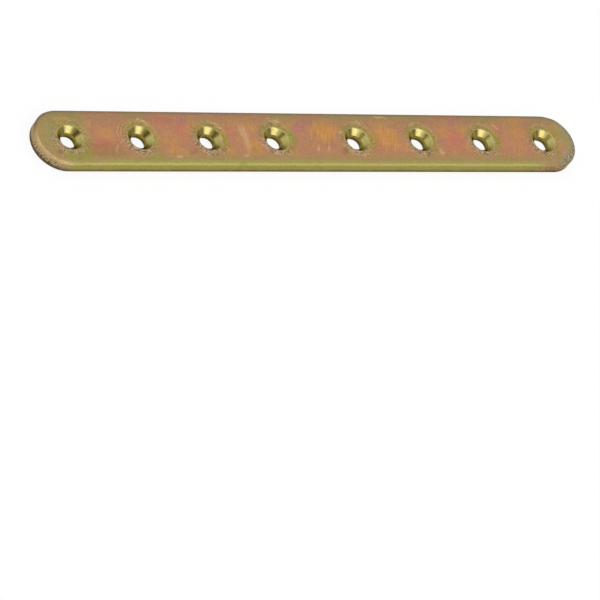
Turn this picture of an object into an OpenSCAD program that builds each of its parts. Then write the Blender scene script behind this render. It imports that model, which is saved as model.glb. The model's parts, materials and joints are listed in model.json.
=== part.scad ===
// Mending plate: a straight steel strip with round ends and a row of countersunk screw holes.
// It lies flat on its back face. X runs along the strip, Y across it and Z up through it,
// and the origin is the middle of the back face.

/* [Strip] */
// Length over both round ends
plate_length = 200; // [150:1:260]
// Width of the strip, and so the diameter of its round ends
plate_width = 20; // [17:0.5:30]
// Thickness through the flat middle of the strip
plate_thickness = 4; // [3:0.1:6]

/* [Edges] */
// Width of the rolled border along each long edge, where the top falls away
roll_width = 2; // [1:0.1:2.5]
// Radius of that falling border
roll_radius = 4.5; // [3.5:0.1:8]
// Radius of the long upper edges, below the rolled border
edge_radius = 0.6; // [0.2:0.05:0.8]
// Radius of the lower edge, all the way round the back
back_radius = 0.4; // [0.1:0.05:0.8]
// Radius left by tumbling on the upper rim of the cropped round ends
rim_radius = 0.5; // [0.1:0.05:0.8]

/* [Screw holes] */
// Number of holes on each side of the middle
holes_per_side = 4; // [2:1:4]
// Distance between the two holes nearest the middle
middle_gap = 30; // [16:0.5:60]
// Distance from each end of the strip to the centre of its last hole
end_margin = 12; // [11:0.1:16]
// Diameter of the straight bore through the plate
bore_diameter = 5.2; // [4:0.1:6]
// Diameter of the countersink where it opens in the top face
sink_diameter = 9; // [8:0.1:12]
// Angle of the countersink, from wall to wall
sink_angle = 90; // [80:1:100]
// Width of the shallow dish that pressing leaves around each countersink
dish_width = 1.8; // [0.8:0.1:2.2]
// Depth of that dish at the edge of the countersink
dish_depth = 0.12; // [0.04:0.01:0.2]

/* [Hidden] */
half_width = plate_width / 2;
end_centre = plate_length / 2 - half_width;
hole_pitch = (plate_length / 2 - end_margin - middle_gap / 2) / (holes_per_side - 1);
sink_depth = (sink_diameter - bore_diameter) / 2 / tan(sink_angle / 2);
// How far the centre of the edge's small arc lies above the centre of the border's wide arc,
// so that the small arc touches both the wide one and the side wall
edge_rise = sqrt(pow(roll_radius - edge_radius, 2) - pow(roll_width - edge_radius, 2));
// How far every cutting shape reaches past the metal that it cuts
reach = 1;
$fn = 96;

// What a round of the given radius takes off an upper right corner that lies at the origin
module corner_waste(radius) {
    difference() {
        translate([-radius, -radius]) square(radius + reach);
        translate([-radius, -radius]) circle(radius);
    }
}

// What the rolling takes off the strip beside one long edge, whose square corner lies at the origin:
// all that is outside the border's wide arc, the edge's small arc and the side wall below them
module roll_waste() {
    border_centre = [-roll_width, -roll_radius];
    edge_centre = border_centre + [roll_width - edge_radius, edge_rise];
    touch = roll_radius / (roll_radius - edge_radius) * (roll_width - edge_radius);
    difference() {
        translate(border_centre) square([roll_width + reach, roll_radius + reach]);
        intersection() {
            translate(border_centre) circle(roll_radius);
            translate(border_centre) square([touch, roll_radius]);
        }
        translate(edge_centre) circle(edge_radius);
        translate(border_centre) square([roll_width, edge_rise]);
    }
}

// The strip's section across its width, as it comes from the rolling mill
module strip_section() {
    difference() {
        translate([-half_width, 0]) square([plate_width, plate_thickness]);
        for (side = [0, 1]) mirror([side, 0]) {
            translate([half_width, plate_thickness]) roll_waste();
            translate([half_width, 0]) mirror([0, 1]) corner_waste(back_radius);
        }
    }
}

// The strip's full length, drawn along X
module strip() {
    rotate([90, 0, 90])
        linear_extrude(plate_length, center = true) strip_section();
}

// The outline that the strip is cropped to, with the rims of its round ends broken
module cropped_outline() {
    translate([-end_centre, -half_width, 0]) cube([2 * end_centre, plate_width, plate_thickness]);
    for (side = [-1, 1]) translate([side * end_centre, 0, 0])
        rotate_extrude() difference() {
            square([half_width, plate_thickness]);
            translate([half_width, plate_thickness]) corner_waste(rim_radius);
            translate([half_width, 0]) mirror([0, 1]) corner_waste(back_radius);
        }
}

// A cone that opens upwards from the given depth below the top face, and goes on a little above it
module cone_from(depth, lower_diameter, mouth_diameter) {
    overshoot = 1.1;
    translate([0, 0, plate_thickness - depth])
        cylinder(h = overshoot * depth, d1 = lower_diameter,
                 d2 = lower_diameter + overshoot * (mouth_diameter - lower_diameter));
}

// One screw hole: a straight bore, the countersink above it and the dish around that.
// The dish is a flat cone that would reach the bore if the countersink weren't there.
module screw_hole() {
    dish_diameter = sink_diameter + 2 * dish_width;
    dish_drop = dish_depth * (dish_diameter - bore_diameter) / (2 * dish_width);
    translate([0, 0, -reach]) cylinder(h = plate_thickness + 2 * reach, d = bore_diameter);
    cone_from(sink_depth, bore_diameter, sink_diameter);
    cone_from(dish_drop, bore_diameter, dish_diameter);
}

module mending_plate() {
    color([0.66, 0.55, 0.36])
        difference() {
            intersection() {
                strip();
                cropped_outline();
            }
            for (side = [-1, 1], i = [0 : holes_per_side - 1])
                translate([side * (middle_gap / 2 + i * hole_pitch), 0, 0]) screw_hole();
        }
}

mending_plate();
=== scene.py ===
import json
import math

import bpy
import numpy as np
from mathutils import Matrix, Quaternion, Vector


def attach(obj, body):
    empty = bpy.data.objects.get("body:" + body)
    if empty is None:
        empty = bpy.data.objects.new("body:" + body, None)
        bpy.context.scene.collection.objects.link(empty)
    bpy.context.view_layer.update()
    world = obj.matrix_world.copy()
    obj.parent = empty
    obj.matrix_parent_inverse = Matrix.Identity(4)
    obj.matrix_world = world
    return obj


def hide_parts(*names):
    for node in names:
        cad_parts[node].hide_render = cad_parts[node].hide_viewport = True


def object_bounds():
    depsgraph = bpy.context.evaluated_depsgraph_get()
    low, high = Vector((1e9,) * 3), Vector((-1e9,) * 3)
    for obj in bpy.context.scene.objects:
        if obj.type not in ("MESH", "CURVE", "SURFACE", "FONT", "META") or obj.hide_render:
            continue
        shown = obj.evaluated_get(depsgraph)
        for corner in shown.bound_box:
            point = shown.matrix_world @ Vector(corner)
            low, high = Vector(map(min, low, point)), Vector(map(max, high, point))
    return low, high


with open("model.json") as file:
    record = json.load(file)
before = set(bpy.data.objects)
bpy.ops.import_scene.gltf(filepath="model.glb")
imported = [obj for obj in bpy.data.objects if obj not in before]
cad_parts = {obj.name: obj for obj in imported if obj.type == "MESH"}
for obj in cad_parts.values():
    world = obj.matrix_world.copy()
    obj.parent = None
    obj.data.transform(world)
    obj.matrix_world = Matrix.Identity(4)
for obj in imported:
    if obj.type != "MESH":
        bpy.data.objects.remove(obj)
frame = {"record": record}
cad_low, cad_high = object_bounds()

MM = 0.001

# The plate's sizes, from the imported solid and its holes
LENGTH = cad_high.x - cad_low.x
WIDTH = cad_high.y - cad_low.y
THICKNESS = cad_high.z - cad_low.z
BORES = [mount for mount in frame["record"]["mounts"] if mount["kind"] == "bore"]
HOLE_PLACES = sorted(bore["pos_m"][0] for bore in BORES)
BORE_RADIUS = BORES[0]["dims"]["r_mm"] * MM
BORE_LENGTH = BORES[0]["dims"]["length_mm"] * MM

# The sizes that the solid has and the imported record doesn't state
ROLL_WIDTH = 2.0 * MM
ROLL_RADIUS = 4.5 * MM
EDGE_RADIUS = 0.6 * MM
BACK_RADIUS = 0.4 * MM
RIM_RADIUS = 0.5 * MM
SINK_SLOPE = math.tan(math.radians(90 / 2))
DISH_WIDTH = 1.8 * MM
DISH_DEPTH = 0.12 * MM

# What follows from both
HALF_WIDTH = WIDTH / 2
END_CENTRE = LENGTH / 2 - HALF_WIDTH
SINK_RADIUS = BORE_RADIUS + (THICKNESS - BORE_LENGTH) * SINK_SLOPE
DISH_RADIUS = SINK_RADIUS + DISH_WIDTH

# Small rounds that only the dressed plate has, and the wobble that keeps its countersinks from being
# alike, with the change of its phase along the plate in radians per metre
BORE_BREAK = 0.12 * MM
THROAT_ROUND = 0.2 * MM
MOUTH_ROUND = 0.18 * MM
DISH_RIM_ROUND = 0.2 * MM
SINK_WOBBLE = 0.02 * MM
WOBBLE_PHASE = 700

# Waves that straightening left in the face: their height, the first one's phase, and how far each runs
# along the plate, or along and across it, while its angle grows by one radian
FACE_WAVE = 0.012 * MM
LONG_WAVE_PHASE = 1.3
LONG_WAVE = 19 * MM
SLANTED_WAVE = (7.3 * MM, 5.1 * MM)
CROSS_WAVE = (31 * MM, 3.9 * MM)

# Ripples that shearing left in the walls of the cropped ends: their depth, how many of each kind a full
# turn would have, the fine ones' phase, and how far the slanted ones lean down the wall, in radians
SHEAR_RIPPLE = 0.03 * MM
FINE_RIPPLES = 41
RIPPLE_SWELLS = 17
SLANTED_RIPPLES = 23
RIPPLE_PHASE = 1.1
RIPPLE_LEAN = 5

# Where the rolled edge has given way to the cropped one round an end: the part of the outward direction
# that lies across the plate there
ROLLED_FROM = 0.86

# Fineness of the mesh: distances, numbers of rows, and the rows in the bore and in the countersink as
# shares of their heights
SPACING = 0.62 * MM
BACK_RING = 0.5 * MM
WELD_STEP = 0.002 * MM
WIDE_ROWS = 11
ROUND_ROWS = 9
WALL_ROWS = 8
BACK_ROWS = 5
STRIP_ROWS = 3
FACE_ROWS = 7
BORE_ROWS = np.array([0.35, 0.7, 0.95])
CONE_ROWS = np.array([0.18, 0.3, 0.45, 0.6, 0.72, 0.82])


# Shape of the plate

def face_wave(x, y):
    """How far the hand-straightened strip lies below its face: the sum of three sines, one along the
    plate and two at a slant, raised so that it is never negative."""
    long_wave = np.sin(x / LONG_WAVE + LONG_WAVE_PHASE)
    slanted_wave = np.sin(x / SLANTED_WAVE[0] + y / SLANTED_WAVE[1])
    cross_wave = np.sin(y / CROSS_WAVE[1] - x / CROSS_WAVE[0])
    return FACE_WAVE * (long_wave + slanted_wave + cross_wave + 3) / 2


def border_drop(y):
    """How far the rolled border lies below the flat top at a distance y from the middle line: the sagitta
    of its wide arc."""
    out = np.clip(np.abs(y) - (HALF_WIDTH - ROLL_WIDTH), 0, ROLL_WIDTH)
    return ROLL_RADIUS - np.sqrt(ROLL_RADIUS ** 2 - out ** 2)


def stations(start, stop, count=None):
    """Evenly spaced values from start to stop, the last left out."""
    count = count or max(2, round(abs(stop - start) / SPACING))
    return np.linspace(start, stop, count, endpoint=False)


def half_turn():
    """The angles of the stations round the right end, from the near side to the far one. Those round the
    left end are opposite to them."""
    return stations(-math.pi / 2, math.pi / 2, round(math.pi * HALF_WIDTH / SPACING))


def cell_limits():
    """Where one hole's share of the plate ends and the next one's begins: halfway between holes."""
    return [(a + b) / 2 for a, b in zip(HOLE_PLACES, HOLE_PLACES[1:])]


def outline_stations():
    """The closed outline, counter-clockwise, as rows of x, y, out_x and out_y: each station's point on the
    middle line, and its outward direction. Along the sides the point runs along the middle line and the
    direction is straight across. Round an end the point stays at its centre and the direction turns."""
    knots = [-END_CENTRE, *cell_limits(), END_CENTRE]
    along = np.concatenate([stations(a, b) for a, b in zip(knots, knots[1:])])
    turn = half_turn()
    near = np.stack([along, 0 * along, 0 * along, 0 * along - 1])
    far = np.stack([-along, 0 * along, 0 * along, 0 * along + 1])
    right = np.stack([0 * turn + END_CENTRE, 0 * turn, np.cos(turn), np.sin(turn)])
    left = np.stack([0 * turn - END_CENTRE, 0 * turn, -np.cos(turn), -np.sin(turn)])
    return np.concatenate([near, right, far, left], axis=1)


def rolled_edge():
    """The rolled upper edge's insets and heights: a wide arc leaves the flat top where the border begins,
    then a small arc touches it and turns down into the side wall."""
    joint = math.asin((ROLL_WIDTH - EDGE_RADIUS) / (ROLL_RADIUS - EDGE_RADIUS))
    wide = np.linspace(0, joint, WIDE_ROWS)
    small = np.linspace(joint, math.pi / 2, ROUND_ROWS + 1)[1:]
    small_centre = THICKNESS - ROLL_RADIUS + (ROLL_RADIUS - EDGE_RADIUS) * math.cos(joint)
    inset = np.concatenate([ROLL_WIDTH - ROLL_RADIUS * np.sin(wide), EDGE_RADIUS * (1 - np.sin(small))])
    wide_height = THICKNESS - ROLL_RADIUS * (1 - np.cos(wide))
    small_height = small_centre + EDGE_RADIUS * np.cos(small)
    return inset, np.concatenate([wide_height, small_height])


def cropped_edge():
    """The cropped ends' insets and heights: level as far as the rim, which is a quarter round."""
    level = np.linspace(ROLL_WIDTH, RIM_RADIUS, WIDE_ROWS + 1)[:-1]
    turn = np.linspace(0, math.pi / 2, ROUND_ROWS)
    inset = np.concatenate([level, RIM_RADIUS * (1 - np.sin(turn))])
    return inset, THICKNESS - np.concatenate([0 * level, RIM_RADIUS * (1 - np.cos(turn))])


def shear_ripples(angle, wall):
    """How far an end's wall is torn inwards, at an angle round the end and a share of the way down: fine
    sines that swell and fade plus slanted ones, never outwards, and none at the wall's two edges."""
    tear = np.sin(angle * FINE_RIPPLES + RIPPLE_PHASE) * np.sin(angle * RIPPLE_SWELLS)
    tear = tear + np.sin(angle * SLANTED_RIPPLES + RIPPLE_LEAN * wall)
    return SHEAR_RIPPLE * (1 + tear / 2) * np.sin(math.pi * wall) ** 2


def border_grid():
    """The border as a grid of stations along the outline by rows down the section: the upper edge, the
    side wall, the back's quarter round and a strip of the back. The upper edge is the rolled one along
    the sides. Round the ends it is the cropped one, lowered by the rolled border's drop, and a smooth
    step mixes the two between."""
    middle_x, middle_y, out_x, out_y = outline_stations()
    side = np.abs(out_y)[:, None]
    rolled = np.clip((side - ROLLED_FROM) / (1 - ROLLED_FROM), 0, 1)
    rolled = rolled * rolled * (3 - 2 * rolled)
    rolled_inset, rolled_height = rolled_edge()
    cropped_inset, cropped_height = cropped_edge()
    inset = rolled * rolled_inset + (1 - rolled) * cropped_inset
    across = (HALF_WIDTH - inset) * side
    height = rolled * rolled_height + (1 - rolled) * (cropped_height - border_drop(across))

    wall = np.linspace(0, 1, WALL_ROWS + 1)[1:]
    wall_height = height[:, -1:] + (BACK_RADIUS - height[:, -1:]) * wall
    wall_inset = (1 - rolled) * shear_ripples(np.arctan2(out_y, out_x)[:, None], wall)
    turn = np.linspace(0, math.pi / 2, BACK_ROWS + 1)[1:]
    back_inset = BACK_RADIUS * (1 - np.cos(turn)) + 0 * side
    back_height = BACK_RADIUS * (1 - np.sin(turn)) + 0 * side
    strip = np.linspace(0, 1, STRIP_ROWS + 1)[1:]
    strip_inset = BACK_RADIUS + (ROLL_WIDTH - BACK_RADIUS) * strip + 0 * side

    inset = np.concatenate([inset, wall_inset, back_inset, strip_inset], axis=1)
    height = np.concatenate([height, wall_height, back_height, 0 * strip_inset], axis=1)
    x = middle_x[:, None] + (HALF_WIDTH - inset) * out_x[:, None]
    y = middle_y[:, None] + (HALF_WIDTH - inset) * out_y[:, None]
    top_rows = np.arange(inset.shape[1]) < len(rolled_inset)
    fade = np.clip(inset / ROLL_WIDTH, 0, 1) * top_rows
    return np.stack([x, y, height - fade * face_wave(x, y)], axis=-1)


def cell_outline(low, high):
    """One hole's share of the face, counter-clockwise: the long edges' inner lines, the lines to the next
    cells and, at the plate's ends, the half circle inside the border."""
    inner = HALF_WIDTH - ROLL_WIDTH
    cross = stations(-inner, inner)
    turn = half_turn()
    near = stations(max(low, -END_CENTRE), min(high, END_CENTRE))
    far = stations(min(high, END_CENTRE), max(low, -END_CENTRE))
    if high > END_CENTRE:
        right = np.stack([END_CENTRE + inner * np.cos(turn), inner * np.sin(turn)])
    else:
        right = np.stack([high + 0 * cross, cross])
    if low < -END_CENTRE:
        left = np.stack([-END_CENTRE - inner * np.cos(turn), -inner * np.sin(turn)])
    else:
        left = np.stack([low + 0 * cross, -cross])
    lower = np.stack([near, 0 * near - inner])
    upper = np.stack([far, 0 * far + inner])
    return np.concatenate([lower, right, upper, left], axis=1)


def hole_profile():
    """A screw hole's radii and heights, from the back up: a quarter round that breaks the bore's lower
    edge, the bore, an arc that opens it into the countersink, the countersink's cone, a parabola that
    touches the cone and the dish, the dish's flatter cone, and a parabola from it to the level face."""
    dish_slope = DISH_DEPTH / (DISH_RADIUS - SINK_RADIUS)
    cone_slope = 1 / SINK_SLOPE
    mouth_radius = SINK_RADIUS - DISH_DEPTH * SINK_SLOPE
    mouth_height = THICKNESS - dish_slope * (DISH_RADIUS - mouth_radius)
    mean_slope = (cone_slope + dish_slope) / 2
    slope_loss = (cone_slope - dish_slope) / 4

    turn = np.linspace(0, math.pi / 2, 5)
    broken_edge = (BORE_RADIUS + BORE_BREAK * (1 - np.sin(turn)), BORE_BREAK * (1 - np.cos(turn)))
    turn = np.linspace(0, math.atan(SINK_SLOPE), 5)
    throat_start = BORE_LENGTH - THROAT_ROUND * math.tan(turn[-1] / 2)
    bore = (BORE_RADIUS + 0 * BORE_ROWS, throat_start * BORE_ROWS)
    throat = (BORE_RADIUS + THROAT_ROUND * (1 - np.cos(turn)), throat_start + THROAT_ROUND * np.sin(turn))
    cone_radius = BORE_RADIUS + (mouth_radius - BORE_RADIUS) * CONE_ROWS
    cone = (cone_radius, BORE_LENGTH + (mouth_height - BORE_LENGTH) * CONE_ROWS)
    bend = np.linspace(-1, 1, 6)
    mouth_rise = mean_slope * bend - slope_loss * (1 + bend ** 2)
    mouth = (mouth_radius + MOUTH_ROUND * bend, mouth_height + MOUTH_ROUND * mouth_rise)
    dish_radius = np.linspace(mouth_radius + 3 * MOUTH_ROUND, DISH_RADIUS - DISH_RIM_ROUND, 6)
    dish = (dish_radius, THICKNESS - dish_slope * (DISH_RADIUS - dish_radius))
    bend = np.linspace(-1, 1, 5)[1:]
    rim_drop = dish_slope * DISH_RIM_ROUND * (1 - bend) ** 2 / 4
    rim = (DISH_RADIUS + DISH_RIM_ROUND * bend, THICKNESS - rim_drop)
    return np.concatenate([broken_edge, bore, throat, cone, mouth, dish, rim], axis=1)


def hole_rings(centre, direction):
    """The hole's profile carried round its axis. Two sines of the angle, with 2 and 5 waves in a turn,
    widen and narrow it: by nothing in the bore, and by more and more from there up to the dish's rim."""
    radius, height = hole_profile()
    phase = centre * WOBBLE_PHASE
    angle = np.arctan2(direction[1], direction[0])[:, None]
    wobble = SINK_WOBBLE * (np.sin(2 * angle + phase) + np.sin(5 * angle - 2 * phase) / 2)
    in_sink = np.clip((height - BORE_LENGTH) / (THICKNESS - BORE_LENGTH), 0, 1) * (radius < DISH_RADIUS)
    ring = radius + wobble * in_sink
    return centre + ring * direction[0][:, None], ring * direction[1][:, None], height + 0 * ring


def cell_grid(centre, low, high):
    """One hole and the face round it, as a grid of directions round the hole by rows: from the cell's
    outline on the back in to the hole, up through it, and out over the face to the outline again. The
    rows on the face lie at even shares of the way from the dish's rim to the outline."""
    outline = cell_outline(low, high)
    away = outline - np.array([[centre], [0]])
    direction = away / np.hypot(*away)
    ring_x, ring_y, ring_z = hole_rings(centre, direction)
    share = np.linspace(0, 1, FACE_ROWS + 1)[1:]
    face_x = ring_x[:, -1:] + (outline[0][:, None] - ring_x[:, -1:]) * share
    face_y = ring_y[:, -1:] + (outline[1][:, None] - ring_y[:, -1:]) * share
    back_x = face_x[:, ::-2]
    back_y = face_y[:, ::-2]
    back_radius = BORE_RADIUS + BORE_BREAK + BACK_RING
    back_ring_x = centre + back_radius * direction[0][:, None]
    back_ring_y = back_radius * direction[1][:, None]

    x = np.concatenate([back_x, back_ring_x, ring_x, face_x], axis=1)
    y = np.concatenate([back_y, back_ring_y, ring_y, face_y], axis=1)
    z = np.concatenate([0 * back_x, 0 * back_ring_x, ring_z, THICKNESS + 0 * face_x], axis=1)
    from_hole = np.hypot(x - centre, y)
    fade = np.clip((from_hole - SINK_RADIUS) / (DISH_RADIUS - SINK_RADIUS), 0, 1) * (z > THICKNESS / 2)
    return np.stack([x, y, z - fade * face_wave(x, y)], axis=-1)


def grid_faces(rows, columns, first):
    """Quads between neighbouring rows of a grid whose first direction closes on itself."""
    i, j = np.meshgrid(np.arange(rows), np.arange(columns - 1), indexing="ij")
    here = i * columns + j
    after = (i + 1) % rows * columns + j
    return np.stack([here, here + 1, after + 1, after], axis=-1).reshape(-1, 4) + first


def build_plate():
    """The whole plate as one closed mesh: a cell for each hole and the border, welded where they meet."""
    limits = [-LENGTH, *cell_limits(), LENGTH]
    grids = [cell_grid(c, a, b) for c, a, b in zip(HOLE_PLACES, limits, limits[1:])]
    grids.append(border_grid())
    points, faces, first = [], [], 0
    for grid in grids:
        points.append(grid.reshape(-1, 3))
        faces.append(grid_faces(grid.shape[0], grid.shape[1], first))
        first += grid.shape[0] * grid.shape[1]
    points, faces = np.concatenate(points), np.concatenate(faces)
    rounded = np.round(points / WELD_STEP).astype(np.int64)
    _, kept, welded = np.unique(rounded, axis=0, return_index=True, return_inverse=True)
    mesh = bpy.data.meshes.new("plated_strip")
    mesh.from_pydata(points[kept].tolist(), [], welded.reshape(-1)[faces].tolist())
    mesh.validate()
    mesh.shade_smooth()
    return mesh


def mark_places(mesh):
    """Three attributes for the finish, in millimetres: how far each point is from the nearest hole's axis,
    how far to the right of that axis along the plate, and how far inside the outline."""
    place = np.empty(len(mesh.vertices) * 3, np.float32)
    mesh.vertices.foreach_get("co", place)
    x, y, _ = place.reshape(-1, 3).T.astype(float)
    centres = np.array(HOLE_PLACES)
    beside_hole = x - centres[np.abs(x[:, None] - centres).argmin(axis=1)]
    from_hole = np.hypot(beside_hole, y)
    past_centre = np.maximum(np.abs(x) - END_CENTRE, 0)
    from_edge = HALF_WIDTH - np.hypot(past_centre, y)
    for name, value in (("from_hole", from_hole), ("beside_hole", beside_hole), ("from_edge", from_edge)):
        attribute = mesh.attributes.new(name, "FLOAT", "POINT")
        attribute.data.foreach_set("value", (value / MM).astype(np.float32))


plate = bpy.data.objects.new("plated_strip", build_plate())
bpy.context.scene.collection.objects.link(plate)
mark_places(plate.data)
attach(plate, "root")
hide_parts("mending_plate")


# Steps that the shaders are built from

def add(tree, kind, **settings):
    """A new node with the given properties set."""
    node = tree.nodes.new("ShaderNode" + kind)
    for name, value in settings.items():
        setattr(node, name, value)
    return node


def put(tree, socket, value):
    """Links an output into a socket, or sets the socket's own value."""
    if isinstance(value, bpy.types.NodeSocket):
        tree.links.new(value, socket)
    else:
        socket.default_value = value


def calc(tree, operation, a, b=0.0, c=0.0):
    """One arithmetic step on values or outputs."""
    node = add(tree, "Math", operation=operation)
    for socket, value in zip(node.inputs, (a, b, c)):
        put(tree, socket, value)
    return node.outputs[0]


def times(tree, *factors):
    """The product of several masks."""
    product = factors[0]
    for factor in factors[1:]:
        product = calc(tree, "MULTIPLY", product, factor)
    return product


def vary(tree, value, low, high):
    """A value from 0 to 1 spread over another span."""
    return calc(tree, "MULTIPLY_ADD", value, high - low, low)


def ramp(tree, value, start, stop):
    """A smooth step from 0 at start to 1 at stop; start may be the larger one."""
    node = add(tree, "MapRange", interpolation_type="SMOOTHSTEP")
    put(tree, node.inputs["Value"], value)
    put(tree, node.inputs["From Min"], start)
    put(tree, node.inputs["From Max"], stop)
    return node.outputs[0]


def band(tree, value, low, high, soft):
    """1 between low and high, with soft flanks outside them."""
    return times(tree, ramp(tree, value, low - soft, low), ramp(tree, value, high + soft, high))


def along_direction(tree, vector, direction):
    """How far a vector reaches along a direction: their dot product."""
    node = add(tree, "VectorMath", operation="DOT_PRODUCT")
    put(tree, node.inputs[0], vector)
    node.inputs[1].default_value = direction
    return node.outputs["Value"]


def patch(tree, place, x, y, reach_x, reach_y, turn=0.0, core=0.3):
    """How far a soft ellipse round (x, y), turned by some degrees, covers a place in millimetres: 1 within
    its core, 0 outside its reach."""
    away = add(tree, "VectorMath", operation="SUBTRACT")
    put(tree, away.inputs[0], place)
    away.inputs[1].default_value = (x, y, 0)
    angle = math.radians(turn)
    shares = []
    for direction, reach in ((angle, reach_x), (angle + math.pi / 2, reach_y)):
        axis = (math.cos(direction) / reach, math.sin(direction) / reach, 0)
        shares.append(along_direction(tree, away.outputs[0], axis))
    square = calc(tree, "MULTIPLY_ADD", shares[0], shares[0], times(tree, shares[1], shares[1]))
    return ramp(tree, calc(tree, "SQRT", square), 1.0, core)


def noise(tree, place, grains, detail=3.0, roughness=0.55, turn=0.0, offset=0.0, colour=False):
    """Noise with the given number of grains in a millimetre along X, Y and Z, turned by some degrees
    round Z."""
    mapping = add(tree, "Mapping", vector_type="POINT")
    turned = add(tree, "VectorRotate", rotation_type="Z_AXIS")
    put(tree, turned.inputs["Vector"], place)
    turned.inputs["Angle"].default_value = math.radians(turn)
    put(tree, mapping.inputs["Vector"], turned.outputs[0])
    mapping.inputs["Location"].default_value = (offset, offset / 2, 0)
    mapping.inputs["Scale"].default_value = grains
    node = add(tree, "TexNoise")
    put(tree, node.inputs["Vector"], mapping.outputs[0])
    node.inputs["Scale"].default_value = 1.0
    node.inputs["Detail"].default_value = detail
    node.inputs["Roughness"].default_value = roughness
    return node.outputs["Color" if colour else "Fac"]


def blend(tree, amount, below, above, mode="MIX"):
    """Colour above over colour below by an amount from 0 to 1."""
    node = add(tree, "Mix", data_type="RGBA", blend_type=mode)
    put(tree, node.inputs[0], amount)
    put(tree, node.inputs[6], below)
    put(tree, node.inputs[7], above)
    return node.outputs[2]


def coat(tree, tint, colour, *masks):
    """A colour laid over a tint by the product of all the masks."""
    return blend(tree, times(tree, *masks), tint, colour)


def linear(red, green, blue):
    """A screen colour from 0 to 255 as the shader's linear one."""
    screen = np.array([red, green, blue]) / 255
    return (*np.where(screen <= 0.04045, screen / 12.92, ((screen + 0.055) / 1.055) ** 2.4), 1.0)


# Finish: yellow passivated zinc

# The film's colours on the face
RED_ROSE = linear(184, 118, 95)
ROSE = linear(174, 126, 94)
MAUVE = linear(176, 119, 104)
ORANGE = linear(190, 137, 80)
OCHRE = linear(194, 150, 88)
TAN = linear(176, 142, 98)
KHAKI = linear(155, 137, 88)
GREY_TAN = linear(162, 138, 116)
GREY_OLIVE = linear(144, 138, 94)
GREEN = linear(143, 141, 66)

# Its colours round the holes and in them
HALO_OLIVE = linear(150, 133, 70)
HALO_BROWN = linear(160, 131, 90)
BRASS = linear(178, 167, 105)
GOLD_OLIVE = linear(152, 134, 60)
# Painted shade in the countersinks and at the back of the bores
OLIVE_SHADE = linear(96, 86, 32)

# Its colours along the borders and on the walls, with painted highlights for the near edge and the left
# end's rim, and the painted shade and the shade factors that darken the far side
BORDER = linear(160, 134, 88)
EDGE_OLIVE = linear(154, 143, 84)
# Painted highlight: the bright line along the near edge's small round
EDGE_HIGHLIGHT = linear(184, 174, 104)
EDGE_TAN = linear(164, 134, 96)
# Painted highlight along the near left rim of the left end
RIM_HIGHLIGHT = linear(198, 173, 124)
WALL_OLIVE = linear(160, 154, 84)
WALL_TAN = linear(182, 158, 118)
# Painted shade: a brown for the far edge and rims, and factors that darken the far half of the face
FAR_EDGE_SHADE = linear(130, 106, 84)
FAR_SHADE = (0.85, 0.94, 0.98, 1)

# Rubbed, worn and stained places
PALE = linear(208, 176, 136)
FLAKE_PALE = linear(194, 186, 160)
SPECK_GREY = linear(136, 134, 112)
# UMBER is also the painted shade along the lower part of the side walls
UMBER = linear(108, 84, 54)
TORN_BROWN = linear(62, 48, 30)

# Patches of the film's colour on the face: colour, x, y, reach along, reach across in millimetres, amount
FILM_PATCHES = [
    (ORANGE, -75.5, 1, 4, 3.5, 0.6), (RED_ROSE, -78, -2.5, 5, 3, 0.6), (ROSE, -78, 6, 7, 4, 0.7),
    (RED_ROSE, -55, 6.5, 6, 3, 0.9), (RED_ROSE, -48, 3, 6, 6, 0.7), (MAUVE, -48.5, 6.5, 4, 2.5, 0.6),
    (ORANGE, -54, -1, 4, 5, 0.4), (RED_ROSE, -33, 2, 4, 5, 0.6), (MAUVE, -32, 0, 3, 4, 0.4),
    (ORANGE, -24, -3.5, 3.6, 5, 0.8), (ORANGE, -23, 5, 4, 4, 0.4), (MAUVE, -5.8, 3.8, 3.6, 3.6, 0.95),
    (MAUVE, -3, -6, 4, 2.5, 0.6), (ORANGE, 3, 2.5, 6, 5.5, 0.95), (ORANGE, 26.5, 0.5, 7, 6, 0.9),
    (RED_ROSE, 21, -3, 4, 3, 0.4), (RED_ROSE, 52.5, 0, 5, 6, 0.85), (ORANGE, 49, 3, 4, 4, 0.5),
    (MAUVE, 60.5, 6.2, 4, 2.4, 0.55), (MAUVE, 72.5, -2.5, 4, 4, 0.6), (RED_ROSE, 71, 5, 3.5, 3, 0.6),
    (ORANGE, 78, 3, 5, 4, 0.5), (MAUVE, 37, -6, 5, 2, 0.4), (RED_ROSE, 94, -2.5, 1.6, 2, 0.4),
]

# Where the film ran in streaks: x, y and reach in millimetres
STREAKED = [(2.5, 0.5, 8), (27, 0, 7)]

# Where the far border is khaki like the near one: middle and reach along the plate in millimetres
FAR_KHAKI = [(-92, 11), (-64, 5), (-10, 7), (22, 26), (67, 11), (92, 9)]

# Stains over the film at the holes, the ends and the border, in the form of FILM_PATCHES
STAINS = [
    (GREY_OLIVE, -94.6, 0.6, 2.6, 4.5, 0.7), (OCHRE, -89.5, 6.4, 5, 1.6, 0.35),
    (TAN, -92.5, -5, 3, 2.5, 0.6), (GREEN, -86.8, -6.0, 6.8, 4.4, 0.9), (GREEN, -9.8, 0.8, 2.0, 4.4, 0.7),
    (GREEN, -30.5, -9.6, 2.6, 1.6, 0.5), (GREEN, -60.9, -7.6, 5, 2, 0.6),
    (GOLD_OLIVE, -34.0, -0.5, 1.8, 4, 0.65), (GOLD_OLIVE, 69.0, 0.5, 1.8, 4, 0.65),
    (GOLD_OLIVE, 21, 0.5, 2, 4, 0.5), (GOLD_OLIVE, -91, 5, 4, 1.8, 0.5), (TAN, 96, 1, 4.4, 9, 0.85),
    (GREY_OLIVE, 97.2, 1.6, 4.2, 7.5, 0.8), (GOLD_OLIVE, 93.6, 3, 2.4, 4, 0.6),
    (RED_ROSE, 94.6, -2.6, 1.6, 2.4, 0.45), (GREY_TAN, 94.5, -5.5, 3.5, 3, 0.6),
]

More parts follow.
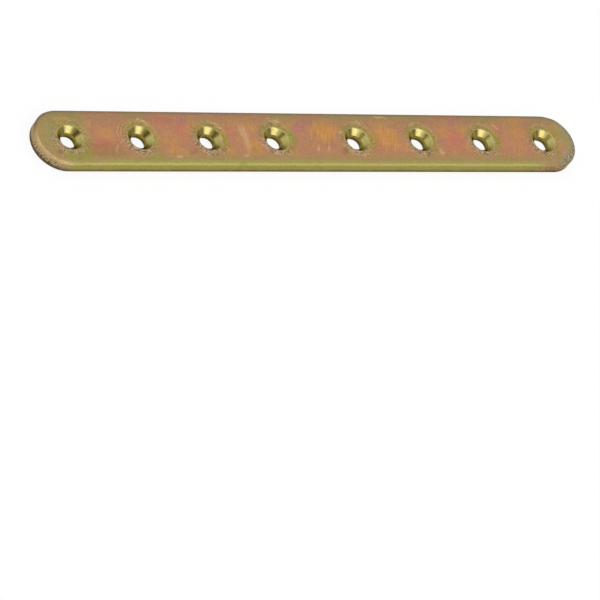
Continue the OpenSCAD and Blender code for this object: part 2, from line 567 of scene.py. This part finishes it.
# Rubbed marks on the face: colour, x, y, reach along, reach across in millimetres, turn in degrees, amount
RUBBED_MARKS = [
    (PALE, -26.4, 0.2, 1.5, 7, -2, 0.4), (PALE, -28, -6.4, 1.8, 0.7, 20, 0.5),
    (PALE, -61.1, 5.8, 1.3, 0.6, -20, 0.75), (PALE, -62.8, 6.9, 1.4, 0.5, 5, 0.65),
    (PALE, -35.6, 4.8, 0.5, 2.4, 32, 0.55), (PALE, -13.2, 6.6, 2.0, 0.7, -12, 0.5),
    (PALE, -15.6, 7.4, 1.2, 0.4, 8, 0.35), (PALE, 9.6, 2.7, 1.3, 0.6, 14, 0.55),
    (PALE, 17.3, 6.6, 1.6, 0.6, -28, 0.45), (PALE, 26, 8.6, 3.4, 0.5, -9, 0.6),
    (PALE, -52.2, -7, 1.6, 0.9, 4, 0.5), (PALE, 45.4, -4.8, 1.5, 1.6, 40, 0.45),
    (PALE, 70.2, 5.4, 0.5, 2.2, 28, 0.5), (PALE, -73.4, -4.2, 0.5, 2.0, -32, 0.4),
    (PALE, -0.8, -3.4, 0.6, 2.2, -14, 0.45), (PALE, 2.6, -4.2, 0.5, 1.8, -20, 0.35),
    (PALE, -27.6, 2.6, 0.5, 4.5, -4, 0.35), (PALE, -14.3, 5.9, 2.0, 0.6, -25, 0.4),
    (UMBER, -15.4, 5.3, 0.9, 0.5, 0, 0.5), (UMBER, -93, -5, 2.4, 1.6, 30, 0.5),
    (UMBER, -24.4, -4.4, 1.8, 1.5, 0, 0.25), (UMBER, 9, -4.4, 2.6, 1.8, 30, 0.35),
    (UMBER, -47, -5, 2.4, 1.4, 20, 0.25), (UMBER, -77, -4.5, 12, 4, 0, 0.25),
]

# How far noise moves a point about to fray what is placed with it, in millimetres
FRAYING = 4.0


class Places:
    """Where a point of the plate is, in millimetres, and the noises that the finish is made from."""

    def __init__(self, tree):
        enlarge = add(tree, "VectorMath", operation="SCALE")
        put(tree, enlarge.inputs[0], add(tree, "TexCoord").outputs["Object"])
        enlarge.inputs["Scale"].default_value = 1 / MM
        self.point = enlarge.outputs[0]
        split = add(tree, "SeparateXYZ")
        put(tree, split.inputs[0], self.point)
        self.along, self.across, self.up = split.outputs
        self.from_hole = add(tree, "Attribute", attribute_name="from_hole").outputs["Fac"]
        self.beside_hole = add(tree, "Attribute", attribute_name="beside_hole").outputs["Fac"]
        self.from_edge = add(tree, "Attribute", attribute_name="from_edge").outputs["Fac"]
        self.clouds = noise(tree, self.point, (0.10, 0.13, 0.5), detail=3, offset=3)
        self.drift = noise(tree, self.point, (0.07, 0.12, 0.5), detail=2, offset=11)
        self.fringe = noise(tree, self.point, (0.35, 0.35, 0.35), detail=4, offset=2)
        self.mottle = noise(tree, self.point, (1.1, 1.1, 1.1), detail=4, roughness=0.6, offset=5)
        self.pepper = noise(tree, self.point, (1.9, 1.9, 1.9), detail=4, roughness=0.7, offset=9)
        self.grain = noise(tree, self.point, (1.9, 0.16, 1), detail=3, turn=21, offset=7)
        self.wavy = vary(tree, self.fringe, -1.6, 1.6)
        self.wavy_along = calc(tree, "MULTIPLY_ADD", self.wavy, 1.5, self.along)
        self.face = ramp(tree, self.up, 3.0, 3.4)
        self.near = ramp(tree, self.across, -2.0, -5.0)
        self.far = ramp(tree, self.across, 2.0, 5.0)
        self.ends = ramp(tree, calc(tree, "ABSOLUTE", self.along), 88.0, 94.0)
        self.torn = self.torn_point(tree)

    def torn_point(self, tree):
        """The point moved about by noise, so that what is placed with it gets a frayed outline."""
        shift = noise(tree, self.point, (0.4, 0.4, 0.4), detail=5, roughness=0.65, colour=True)
        moved = add(tree, "VectorMath", operation="MULTIPLY_ADD")
        put(tree, moved.inputs[0], shift)
        moved.inputs[1].default_value = (FRAYING, FRAYING, 0)
        put(tree, moved.inputs[2], self.point)
        centred = add(tree, "VectorMath", operation="SUBTRACT")
        put(tree, centred.inputs[0], moved.outputs[0])
        centred.inputs[1].default_value = (FRAYING / 2, FRAYING / 2, 0)
        return centred.outputs[0]

    def side_of_hole(self, tree, direction, spread):
        """1 on the side of each hole that lies in a direction, fading out to the given angle from it.
        Both are in degrees, and the direction turns from +X towards +Y."""
        turn = math.radians(direction)
        reach = calc(tree, "MULTIPLY_ADD", self.beside_hole, math.cos(turn),
                     calc(tree, "MULTIPLY", self.across, math.sin(turn)))
        share = calc(tree, "DIVIDE", reach, calc(tree, "MAXIMUM", self.from_hole, 0.1))
        return ramp(tree, share, math.cos(math.radians(spread)), math.cos(math.radians(spread / 3)))


def lay_patches(tree, at, tint, patches):
    """Frayed patches laid on the face one after the other, each turned if it has a turn."""
    for colour, x, y, reach_x, reach_y, *turn, amount in patches:
        cover = patch(tree, at.torn, x, y, reach_x, reach_y, *turn)
        tint = coat(tree, tint, colour, cover, at.face, amount)
    return tint


def face_film(tree, at):
    """The film's colour on the open face: rose with clouds of orange and mauve, the frayed patches that
    rinsing and drying left, and ochre and brown streaks."""
    tint = coat(tree, ROSE, ORANGE, ramp(tree, at.clouds, 0.46, 0.62), 0.5)
    tint = coat(tree, tint, MAUVE, ramp(tree, at.drift, 0.55, 0.68), 0.6)
    tint = lay_patches(tree, at, tint, FILM_PATCHES)
    streaky = times(tree, ramp(tree, at.clouds, 0.45, 0.6), 0.5)
    for x, y, reach in STREAKED:
        streaky = calc(tree, "MAXIMUM", streaky, patch(tree, at.torn, x, y, reach, reach))
    tint = coat(tree, tint, OCHRE, ramp(tree, at.grain, 0.50, 0.66), streaky, 0.8)
    return coat(tree, tint, UMBER, ramp(tree, at.grain, 0.48, 0.34), streaky, 0.25)


def thin_film_and_highlight(tree, at, tint):
    """Olive and khaki where the film is thinner, round the holes and over the left end, and a painted
    highlight: a tan arc along the dish's rim on the far side of each hole."""
    halo = blend(tree, at.side_of_hole(tree, 235, 100), HALO_OLIVE, HALO_BROWN)
    ring = calc(tree, "ADD", at.from_hole, at.wavy)
    tint = coat(tree, tint, halo, ramp(tree, ring, 8.0, 5.0), 0.85)
    # Painted highlight: a tan arc where the far side of each dish's rim catches the light
    arc = band(tree, at.from_hole, 6.0, 6.6, 0.6)
    tint = coat(tree, tint, TAN, arc, at.side_of_hole(tree, 65, 80), 0.7)
    return coat(tree, tint, KHAKI, ramp(tree, at.wavy_along, -79.5, -86.0), 0.85)


def border_film_light_and_shade(tree, at, tint):
    """The borders: khaki along the near one and parts of the far one, an olive to tan edge with a painted
    highlight line along the near side, and painted shade that makes the far side darker and browner."""
    inside = calc(tree, "ADD", at.from_edge, at.wavy)
    khaki_span = 0.0
    for x, reach in FAR_KHAKI:
        khaki_span = calc(tree, "MAXIMUM", khaki_span, patch(tree, at.torn, x, 8.5, reach, 4.5, core=0.6))
    tint = coat(tree, tint, BORDER, ramp(tree, inside, 3.8, 2.0), at.far, khaki_span, 0.8)
    tint = coat(tree, tint, BORDER, ramp(tree, inside, 5.6, 2.4), at.near)

    left_end = ramp(tree, at.wavy_along, -89.0, -93.0)
    tan_ends = calc(tree, "MAXIMUM", left_end, ramp(tree, at.wavy_along, 80.0, 88.0))
    edge = blend(tree, ramp(tree, at.clouds, 0.56, 0.68), EDGE_OLIVE, EDGE_TAN)
    edge = blend(tree, tan_ends, edge, EDGE_TAN)
    tint = coat(tree, tint, edge, ramp(tree, at.from_edge, 2.3, 1.3), at.near)
    # Painted highlight: a bright line along the near edge, where its small round catches the light
    bright_line = band(tree, at.from_edge, 0.35, 0.7, 0.4)
    between_ends = calc(tree, "SUBTRACT", 1.0, tan_ends)
    tint = coat(tree, tint, EDGE_HIGHLIGHT, bright_line, at.near, between_ends, vary(tree, at.pepper, 0.4, 1.0))

    # Painted shade: the far half of the face darkened, and the far edge browner
    shaded = blend(tree, 1.0, tint, FAR_SHADE, mode="MULTIPLY")
    tint = coat(tree, tint, shaded, ramp(tree, at.across, 2.5, 7.5))
    return coat(tree, tint, FAR_EDGE_SHADE, ramp(tree, at.from_edge, 1.2, 0.2), at.far, 0.85)


def punch_marks(tree, at, tint):
    """What the punch left at the holes: scuffed arcs on their left, strongest at the second hole, and
    lips of grey tan with pale and brown specks, most of all on the near side."""
    ripple = calc(tree, "SINE", calc(tree, "MULTIPLY_ADD", at.from_hole, 6.0, times(tree, at.fringe, 9.0)))
    second_hole = patch(tree, at.point, HOLE_PLACES[1] / MM - 6, 0, 6, 9, core=0.6)
    scuffed = times(tree, band(tree, at.from_hole, 5.4, 8.0, 1.0), at.face, at.side_of_hole(tree, 175, 50),
                    vary(tree, second_hole, 0.15, 1.0))
    crest = times(tree, ramp(tree, ripple, 0.3, 1.0), ramp(tree, at.pepper, 0.42, 0.55))
    tint = coat(tree, tint, PALE, crest, scuffed, 0.5)
    trough = times(tree, ramp(tree, ripple, -0.3, -1.0), ramp(tree, at.pepper, 0.55, 0.42))
    tint = coat(tree, tint, UMBER, trough, scuffed, 0.5)

    lip = times(tree, band(tree, at.from_hole, 4.4, 5.9, 1.4), at.face)
    near_side = at.side_of_hole(tree, 240, 80)
    tint = coat(tree, tint, GREY_TAN, lip, near_side, 0.5)
    pale_specks = times(tree, vary(tree, near_side, 0.3, 1.0), ramp(tree, at.pepper, 0.50, 0.58))
    tint = coat(tree, tint, PALE, lip, pale_specks, 0.6)
    brown_specks = times(tree, vary(tree, near_side, 0.4, 1.0), ramp(tree, at.pepper, 0.49, 0.41))
    return coat(tree, tint, UMBER, lip, brown_specks, 0.9)


def cropped_rims(tree, at, tint):
    """The rims of the cropped ends: a pale painted highlight along the near left, grey and flaking at the
    right, most of all on its near half, and painted shade in brown at the far left."""
    flake = ramp(tree, at.pepper, 0.44, 0.58)
    # Painted highlight: a pale line along the near left rim, where it catches the light
    near_left = times(tree, ramp(tree, at.along, -88.0, -93.0), ramp(tree, at.across, 5.0, -2.0))
    left_rim = band(tree, at.from_edge, 0.05, 0.9, 0.4)
    tint = coat(tree, tint, RIM_HIGHLIGHT, left_rim, near_left, vary(tree, flake, 0.5, 1.0))

    near_half = ramp(tree, at.across, 0.0, -6.0)
    rim_width = calc(tree, "SUBTRACT", calc(tree, "MULTIPLY_ADD", at.wavy, 0.5, at.from_edge), near_half)
    right_rim = times(tree, ramp(tree, rim_width, 2.0, 0.6), ramp(tree, at.along, 88.0, 94.0))
    tint = coat(tree, tint, SPECK_GREY, right_rim, vary(tree, flake, 0.6, 1.0))
    specked = times(tree, right_rim, vary(tree, near_half, 0.5, 1.0))
    tint = coat(tree, tint, UMBER, specked, ramp(tree, at.pepper, 0.49, 0.42), 0.9)
    tint = coat(tree, tint, FLAKE_PALE, specked, ramp(tree, at.pepper, 0.53, 0.60), 0.65)

    # Painted shade: the far rim of the left end browner and darker
    far_left = times(tree, ramp(tree, at.along, -90.0, -96.0), ramp(tree, at.across, -1.0, 3.0))
    return coat(tree, tint, FAR_EDGE_SHADE, ramp(tree, at.from_edge, 0.9, 0.3), far_left, 0.35)


def side_walls(tree, at, tint):
    """The side walls: olive along the sides, tan with specks round the ends, and darker towards the back:
    painted shade along the lower part of every wall, and torn edges at the ends."""
    wall = times(tree, ramp(tree, at.from_edge, 0.16, 0.06), ramp(tree, at.up, 3.5, 3.1))
    ends = calc(tree, "MAXIMUM", at.ends, ramp(tree, at.along, 76.0, 90.0))
    end_wall = blend(tree, ramp(tree, at.along, -40.0, 40.0), WALL_TAN, EDGE_TAN)
    tint = coat(tree, tint, blend(tree, ends, WALL_OLIVE, end_wall), wall)
    tint = coat(tree, tint, UMBER, wall, ends, ramp(tree, at.pepper, 0.50, 0.43), 0.7)
    tint = coat(tree, tint, FLAKE_PALE, wall, ends, ramp(tree, at.pepper, 0.54, 0.61), 0.35)

    # Painted shade: the lower part of every wall darkened where it faces the floor; the ends' lower edges
    # are torn
    low = ramp(tree, calc(tree, "MULTIPLY_ADD", at.fringe, 1.2, at.up), 2.6, 1.2)
    ragged = ramp(tree, calc(tree, "MULTIPLY_ADD", at.pepper, 5.0, at.up), 4.4, 3.5)
    torn = times(tree, ends, ragged)
    lower_edge = blend(tree, torn, UMBER, TORN_BROWN)
    dark = calc(tree, "MAXIMUM", low, torn)
    return coat(tree, tint, lower_edge, ramp(tree, at.from_edge, 0.45, 0.3), dark, 0.8)


def sunk_film_and_shade(tree, at, tint, sunk):
    """Brass in the countersinks, with painted shade on the far right of the left holes and a little on the
    near right of all, and olive in the bores, darkened by painted shade towards the back."""
    brass = coat(tree, BRASS, KHAKI, ramp(tree, at.pepper, 0.47, 0.36), 0.5)
    # Painted shade: dark reflections on the cones beside the highlight, and a little on their near right
    left_part = ramp(tree, at.along, 0.0, -45.0)
    brass = coat(tree, brass, OLIVE_SHADE, at.side_of_hole(tree, 38, 27), left_part, 0.7)
    brass = coat(tree, brass, OLIVE_SHADE, at.side_of_hole(tree, 305, 50), 0.18)
    tint = coat(tree, tint, brass, sunk, ramp(tree, at.up, 1.2, 1.5))
    # Painted shade: the bores darker towards the back
    bore = times(tree, ramp(tree, at.from_hole, 2.72, 2.62), ramp(tree, at.up, 2.2, 2.0))
    return coat(tree, tint, blend(tree, ramp(tree, at.up, 0.7, 1.7), OLIVE_SHADE, GOLD_OLIVE), bore)


def plate_tint(tree, at, sunk):
    """The film's colour all over the plate, layer by layer, with painted highlights and painted shade among
    the layers, and with the mottle and the pepper of the passivation as factors over it."""
    tint = face_film(tree, at)
    tint = thin_film_and_highlight(tree, at, tint)
    tint = border_film_light_and_shade(tree, at, tint)
    tint = lay_patches(tree, at, tint, STAINS)
    tint = lay_patches(tree, at, tint, RUBBED_MARKS)
    tint = punch_marks(tree, at, tint)
    tint = cropped_rims(tree, at, tint)
    tint = side_walls(tree, at, tint)
    tint = sunk_film_and_shade(tree, at, tint, sunk)
    tint = blend(tree, 1.0, tint, vary(tree, at.mottle, 0.74, 1.22), mode="MULTIPLY")
    return blend(tree, 1.0, tint, vary(tree, at.pepper, 0.88, 1.12), mode="MULTIPLY")


def yellow_zinc():
    """Satin metal with the film's colour, rougher along the edges and smoother in the countersinks, and
    with a fine bump of mottle, pepper and grain."""
    material = bpy.data.materials.new("yellow_zinc_passivated")
    material.use_nodes = True
    tree = material.node_tree
    tree.nodes.clear()
    at = Places(tree)
    sunk = ramp(tree, at.from_hole, 4.52, 4.36)

    surface = add(tree, "BsdfPrincipled")
    put(tree, surface.inputs["Base Color"], plate_tint(tree, at, sunk))
    surface.inputs["Metallic"].default_value = 1.0
    surface.inputs["Specular Tint"].default_value = (0.92, 0.86, 0.70, 1)
    edge = times(tree, ramp(tree, at.from_edge, 1.6, 0.8), 0.14)
    rough = calc(tree, "ADD", vary(tree, at.mottle, 0.24, 0.42), edge)
    put(tree, surface.inputs["Roughness"], calc(tree, "MULTIPLY_ADD", sunk, -0.08, rough))
    height = calc(tree, "ADD", times(tree, at.mottle, 0.6), times(tree, at.pepper, 0.35))
    bump = add(tree, "Bump")
    bump.inputs["Strength"].default_value = 0.3
    bump.inputs["Distance"].default_value = 0.03 * MM
    put(tree, bump.inputs["Height"], calc(tree, "MULTIPLY_ADD", at.grain, 0.25, height))
    put(tree, surface.inputs["Normal"], bump.outputs[0])
    put(tree, add(tree, "OutputMaterial").inputs["Surface"], surface.outputs[0])
    return material


plate.data.materials.append(yellow_zinc())


# Floor, room and lamp: sizes and places in metres, directions in the room as unit vectors
FLOOR_SIZE = 12.0
FLOOR_GAP = 0.02 * MM
FLOOR_WHITE = (0.9, 0.9, 0.9, 1)
FLOOR_GLOW = 0.88
GLOSSY_GLOW = 0.5
ROOM_WHITE = (1, 1, 1, 1)
CAMERA_SIDE = (-0.69, -0.33, 0.64)
CAMERA_SHADE = (1.0, 0.80, 0.28, 1)
KEY_EDGE = (0.80, -0.50, 0.33)
KEY_PLACE = (0.30, -0.84, 0.63)
KEY_WIDTH = 0.95
KEY_HEIGHT = 0.45
KEY_POWER = 1.95


def white_floor():
    """A white floor that is its own bright background, and still takes some of the plate's shadow.
    It lies a hair below the back face and is clear from below, so that the back can be looked at."""
    side = FLOOR_SIZE / 2
    mesh = bpy.data.meshes.new("floor")
    corners = [(-side, -side), (side, -side), (side, side), (-side, side)]
    mesh.from_pydata([(x, y, -FLOOR_GAP) for x, y in corners], [], [(0, 1, 2, 3)])
    floor = bpy.data.objects.new("floor", mesh)
    bpy.context.scene.collection.objects.link(floor)
    material = bpy.data.materials.new("white_floor")
    material.use_nodes = True
    tree = material.node_tree
    tree.nodes.clear()
    ray = add(tree, "LightPath")
    seen = calc(tree, "MAXIMUM", ray.outputs["Is Camera Ray"], ray.outputs["Is Transmission Ray"])
    seen_glow = times(tree, seen, FLOOR_GLOW)
    mirrored_glow = times(tree, ray.outputs["Is Glossy Ray"], GLOSSY_GLOW)
    lit = add(tree, "BsdfDiffuse")
    lit.inputs["Color"].default_value = FLOOR_WHITE
    glow = add(tree, "Emission")
    mixed = add(tree, "MixShader")
    put(tree, mixed.inputs[0], calc(tree, "MAXIMUM", seen_glow, mirrored_glow))
    put(tree, mixed.inputs[1], lit.outputs[0])
    put(tree, mixed.inputs[2], glow.outputs[0])
    one_sided = add(tree, "MixShader")
    put(tree, one_sided.inputs[0], add(tree, "NewGeometry").outputs["Backfacing"])
    put(tree, one_sided.inputs[1], mixed.outputs[0])
    put(tree, one_sided.inputs[2], add(tree, "BsdfTransparent").outputs[0])
    put(tree, add(tree, "OutputMaterial").inputs["Surface"], one_sided.outputs[0])
    mesh.materials.append(material)


def studio_world():
    """An even pale room, brighter overhead, and darker where the camera stands, low on the right and
    beside the key lamp."""
    world = bpy.data.worlds.new("studio")
    world.use_nodes = True
    bpy.context.scene.world = world
    tree = world.node_tree
    tree.nodes.clear()
    sky = add(tree, "TexCoord").outputs["Generated"]
    split = add(tree, "SeparateXYZ")
    put(tree, split.inputs[0], sky)
    right, _, up = split.outputs
    behind_camera = ramp(tree, along_direction(tree, sky, CAMERA_SIDE), 0.935, 0.985)
    low_right = times(tree, ramp(tree, right, 0.5, 0.85), ramp(tree, up, 0.35, 0.1))
    beside_key = ramp(tree, along_direction(tree, sky, KEY_EDGE), 0.95, 0.98)
    level = vary(tree, ramp(tree, up, 0.3, 1.0), 0.9, 1.25)
    for shade, darkest in ((behind_camera, 0.28), (low_right, 0.5), (beside_key, 0.4)):
        level = times(tree, level, vary(tree, shade, 1.0, darkest))
    shaded = calc(tree, "MAXIMUM", behind_camera, times(tree, beside_key, 0.5))
    background = add(tree, "Background")
    put(tree, background.inputs["Strength"], level)
    put(tree, background.inputs["Color"], blend(tree, shaded, ROOM_WHITE, CAMERA_SHADE))
    put(tree, add(tree, "OutputWorld").inputs["Surface"], background.outputs[0])


def soft_lamp(name, place, width, height, power):
    """A wide soft lamp that looks at the middle of the plate."""
    data = bpy.data.lights.new(name, "AREA")
    data.shape = "RECTANGLE"
    data.size = width
    data.size_y = height
    data.energy = power
    light = bpy.data.objects.new(name, data)
    light.location = place
    light.rotation_mode = "QUATERNION"
    light.rotation_quaternion = Vector(place).to_track_quat("Z", "Y")
    bpy.context.scene.collection.objects.link(light)


white_floor()
studio_world()
soft_lamp("key", KEY_PLACE, KEY_WIDTH, KEY_HEIGHT, KEY_POWER)


# Camera, where the photograph was taken from
CAMERA_AIM = Vector((-24.58, -56.677, 0)) * MM
CAMERA_DISTANCE = 1074.21 * MM
CAMERA_AZIMUTH = math.radians(-50.598)
CAMERA_ELEVATION = math.radians(45.907)
CAMERA_ROLL = math.radians(39.93)
CAMERA_LENS = 212.65
CAMERA_SENSOR = 36
NEAREST_SEEN = 0.05
FARTHEST_SEEN = 20


def set_camera():
    """Puts the camera on a sphere round the point that it aims at, and rolls it about its line of sight."""
    back = Vector((math.sin(CAMERA_AZIMUTH) * math.cos(CAMERA_ELEVATION),
                   -math.cos(CAMERA_AZIMUTH) * math.cos(CAMERA_ELEVATION),
                   math.sin(CAMERA_ELEVATION)))
    data = bpy.data.cameras.new("camera")
    data.lens = CAMERA_LENS
    data.sensor_width = CAMERA_SENSOR
    data.clip_start = NEAREST_SEEN
    data.clip_end = FARTHEST_SEEN
    camera = bpy.data.objects.new("camera", data)
    camera.location = CAMERA_AIM + back * CAMERA_DISTANCE
    camera.rotation_mode = "QUATERNION"
    camera.rotation_quaternion = (-back).to_track_quat("-Z", "Y") @ Quaternion((0, 0, 1), CAMERA_ROLL)
    bpy.context.scene.collection.objects.link(camera)
    bpy.context.scene.camera = camera


set_camera()
bpy.context.scene.view_settings.view_transform = "Standard"
